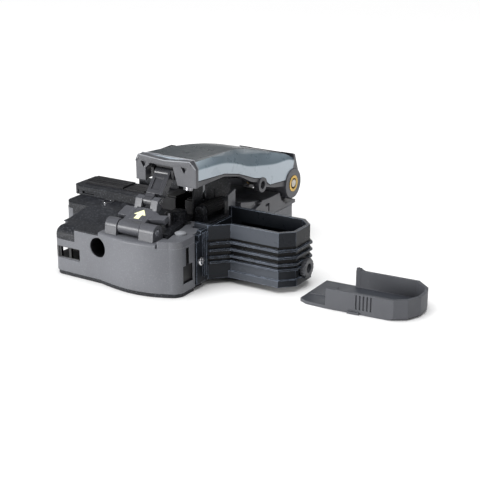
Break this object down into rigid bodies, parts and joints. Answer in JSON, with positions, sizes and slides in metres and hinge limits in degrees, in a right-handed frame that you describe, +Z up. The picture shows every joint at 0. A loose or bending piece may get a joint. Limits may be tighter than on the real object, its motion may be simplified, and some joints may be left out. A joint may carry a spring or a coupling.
{
  "type": "optical fibre cleaver",
  "caption": "Bench-top optical fibre cleaver with a hinged lid, clamp arm, sliding blade, scrap bin on the side and a loose bin cover.",
  "frame": {"origin": "centre of the base's resting face, on the table", "axes": "+X along the fibre towards the scrap bin, +Y away from the operator to the lid hinge, +Z up"},
  "size_m": [0.1713, 0.113, 0.0522],
  "materials": {
    "casing_grey": "fine satin moulding",
    "deck_black": "coarse spark-eroded texture",
    "charcoal": "satin moulding",
    "lid_blue_grey": "satin painted moulding",
    "bin_black": "semi-gloss moulding",
    "cover_grey": "satin moulding",
    "mark_yellow": "moulded inlay",
    "anodised_black": "black anodised, machined",
    "steel": "ground",
    "bright_steel": "polished",
    "brass": "turned",
    "ivory": "moulded cap",
    "rubber_black": "moulded",
    "blade_carbide": "lapped edge"
  },
  "bodies": {
    "base": {"base_plate": "deck_black", "rubber_feet": "rubber_black", "base_screws": "steel", "lower_casing": "casing_grey", "top_deck": "deck_black", "side_cap": "casing_grey", "strike_plate": "steel", "deck_tab": "casing_grey", "rear_cover": "charcoal", "arm_bracket": "charcoal", "arm_pin": "bright_steel", "hinge_shaft": "steel", "hinge_caps": "ivory", "lid_spring": "steel", "lower_clamps": "anodised_black", "lower_pads": "rubber_black", "roller_block": "deck_black", "clamp_wall": "deck_black", "fibre_guide": "deck_black", "adapter_plate": "anodised_black", "guide_bush": "bright_steel", "guide_rails": "steel", "rail_blocks": "anodised_black", "bin_body": "bin_black", "bin_bracket": "bin_black", "bin_screw": "bright_steel"},
    "lid": {"lid_shell": "lid_blue_grey", "lid_frame": "charcoal", "lid_bracket": "anodised_black", "lid_magnet": "steel", "lid_side_tab": "deck_black", "clamp_blocks": "deck_black", "upper_pads": "rubber_black", "anvil": "rubber_black", "pinch_holder": "deck_black", "hinge_bushes": "brass"},
    "arm": {"clamp_arm": "charcoal", "arrow_plate": "charcoal", "arrow_mark": "mark_yellow", "link_pin_lower": "bright_steel"},
    "link": {"link_arm": "charcoal", "link_pin_upper": "bright_steel"},
    "carriage": {"blade_carriage": "anodised_black", "blade_screw": "bright_steel"},
    "blade": {"blade_wheel": "blade_carbide"},
    "lower_roller": {"drive_roller": "rubber_black"},
    "upper_roller": {"pinch_roller": "rubber_black"},
    "button": {"release_button": "charcoal"},
    "knob": {"bin_knob": "charcoal"},
    "cover": {"bin_cover": "cover_grey"}
  },
  "joints": [
    {"name": "lid_hinge", "type": "hinge", "parent": "base", "child": "lid", "pos_m": [0, 0.05, 0.0235], "axis": [1, 0, 0], "range_deg": [0, 10], "stiffness_Nm_per_rad": 0.06, "springref_deg": -34.38},
    {"name": "arm_hinge", "type": "hinge", "parent": "base", "child": "arm", "pos_m": [0, -0.049, 0.0258], "axis": [1, 0, 0], "range_deg": [-20, 0]},
    {"name": "link_hinge", "type": "hinge", "parent": "arm", "child": "link", "pos_m": [0, -0.0365, 0.03429], "axis": [1, 0, 0], "range_deg": [-24, 0]},
    {"name": "blade_slide", "type": "slide", "parent": "base", "child": "carriage", "axis": [0, -1, 0], "range_m": [0, 0.021]},
    {"name": "blade_turn", "type": "hinge", "parent": "carriage", "child": "blade", "pos_m": [0, 0.008, 0.023], "axis": [1, 0, 0], "continuous": true},
    {"name": "lower_roller_turn", "type": "hinge", "parent": "base", "child": "lower_roller", "pos_m": [0.0205, 0, 0.0271], "axis": [0, 1, 0], "continuous": true},
    {"name": "upper_roller_turn", "type": "hinge", "parent": "lid", "child": "upper_roller", "pos_m": [0.0205, -0.00796, 0.04321], "axis": [0, 0.9848, -0.1736], "continuous": true},
    {"name": "release_press", "type": "slide", "parent": "base", "child": "button", "axis": [0, 0, -1], "range_m": [0, 0.0008], "stiffness_N_per_m": 400, "springref_m": -0.002},
    {"name": "bin_knob_turn", "type": "hinge", "parent": "base", "child": "knob", "pos_m": [0.0669, -0.0113, 0.0085], "axis": [1, 0, 0], "continuous": true},
    {"name": "cover_lift", "type": "slide", "parent": "base", "child": "cover", "axis": [0, 0, 1], "range_m": [0, 0.06]}
  ],
  "couplings": [
    {"joint": "arm_hinge", "follows": "lid_hinge", "ratio": -2},
    {"joint": "link_hinge", "follows": "lid_hinge", "ratio": -2.4},
    {"joint": "blade_slide", "follows": "lid_hinge", "m_per_rad": 0.1203}
  ]
}
